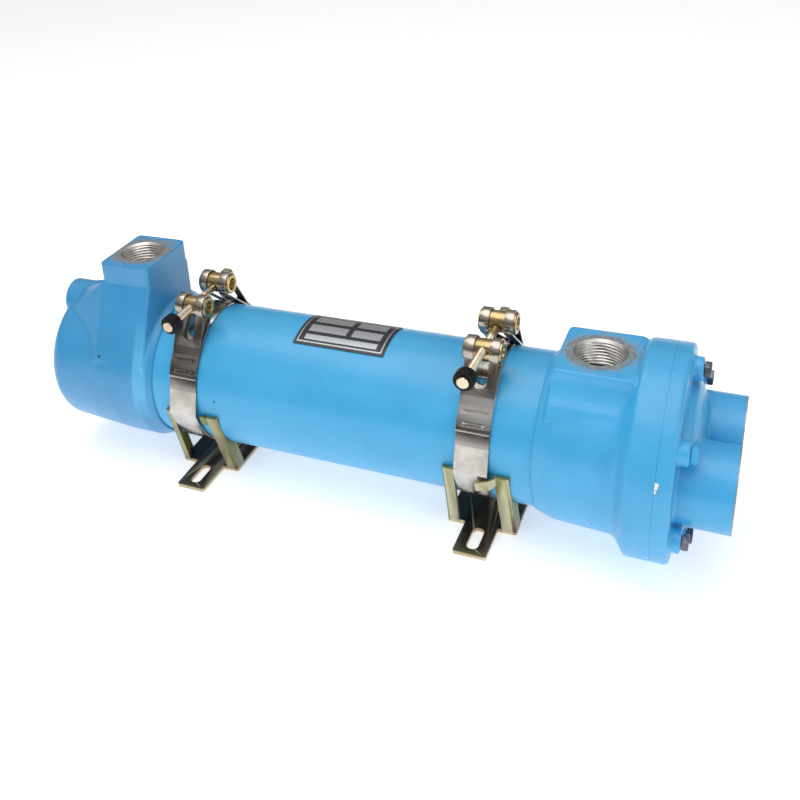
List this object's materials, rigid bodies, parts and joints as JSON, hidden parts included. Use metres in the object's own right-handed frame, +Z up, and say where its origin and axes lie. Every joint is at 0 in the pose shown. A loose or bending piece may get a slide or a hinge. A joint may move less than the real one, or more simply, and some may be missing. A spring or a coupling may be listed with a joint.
{
  "type": "shell and tube oil cooler",
  "caption": "Blue shell-and-tube hydraulic oil cooler with threaded oil and water ports, held on slotted sheet-metal feet by screw-tightened clamp bands.",
  "frame": {"origin": "centre of the object's box, at its base, where the feet stand", "axes": "+X along the shell towards the water ports, +Y across it to the rear, +Z up, the way the oil ports point"},
  "size_m": [0.516, 0.1455, 0.1703],
  "materials": {
    "blue_enamel": "sky blue enamel, semi-gloss",
    "stainless_band": "bright rolled stainless strip",
    "yellow_zinc": "yellow chromated zinc",
    "bright_steel": "bright zinc-plated steel",
    "black_nylon": "black nylon",
    "name_plate": "black printed aluminium foil",
    "copper_tube": "drawn copper",
    "brass_sheet": "rolled brass",
    "gasket_fibre": "compressed fibre"
  },
  "bodies": {
    "cooler": {"shell_tube": "blue_enamel", "port_end_housing": "blue_enamel", "return_end_housing": "blue_enamel", "water_cover": "blue_enamel", "cover_bolt_1": "bright_steel", "cover_bolt_2": "bright_steel", "cover_bolt_3": "bright_steel", "cover_bolt_4": "bright_steel", "cover_bolt_5": "bright_steel", "cover_bolt_6": "bright_steel", "tube_sheet": "brass_sheet", "shell_side_gasket": "gasket_fibre", "cover_side_gasket": "gasket_fibre", "u_tube_1": "copper_tube", "u_tube_2": "copper_tube", "u_tube_3": "copper_tube", "u_tube_4": "copper_tube", "u_tube_5": "copper_tube", "u_tube_6": "copper_tube", "u_tube_7": "copper_tube", "baffle_1": "brass_sheet", "baffle_2": "brass_sheet", "baffle_3": "brass_sheet", "baffle_4": "brass_sheet", "baffle_5": "brass_sheet", "tie_rod_1": "bright_steel", "tie_rod_2": "bright_steel", "right_band": "stainless_band", "right_front_trunnion": "yellow_zinc", "right_rear_trunnion": "yellow_zinc", "right_band_bridge": "stainless_band", "right_bracket": "yellow_zinc", "left_band": "stainless_band", "left_front_trunnion": "yellow_zinc", "left_rear_trunnion": "yellow_zinc", "left_band_bridge": "stainless_band", "left_bracket": "yellow_zinc", "name_plate": "name_plate"},
    "right_retainer": {"right_bolt_retainer": "black_nylon"},
    "right_bolt": {"right_clamp_bolt": "bright_steel"},
    "left_retainer": {"left_bolt_retainer": "black_nylon"},
    "left_bolt": {"left_clamp_bolt": "bright_steel"}
  },
  "joints": [
    {"name": "right_bolt_travel", "type": "slide", "parent": "cooler", "child": "right_retainer", "axis": [0, 0.9992, -0.0401], "range_m": [0, 0.03]},
    {"name": "right_bolt_turn", "type": "hinge", "parent": "right_retainer", "child": "right_bolt", "pos_m": [0.0976, -0.00427, 0.14287], "axis": [0, 0.9992, -0.0401], "range_deg": [0, 10800]},
    {"name": "left_bolt_travel", "type": "slide", "parent": "cooler", "child": "left_retainer", "axis": [0, 1, 0], "range_m": [0, 0.018]},
    {"name": "left_bolt_turn", "type": "hinge", "parent": "left_retainer", "child": "left_bolt", "pos_m": [-0.1261, -0.00427, 0.14287], "axis": [0, 1, 0], "range_deg": [0, 6480]}
  ],
  "couplings": [
    {"joint": "right_bolt_turn", "follows": "right_bolt_travel", "rad_per_m": 6283.2},
    {"joint": "left_bolt_turn", "follows": "left_bolt_travel", "rad_per_m": 6283.2}
  ]
}
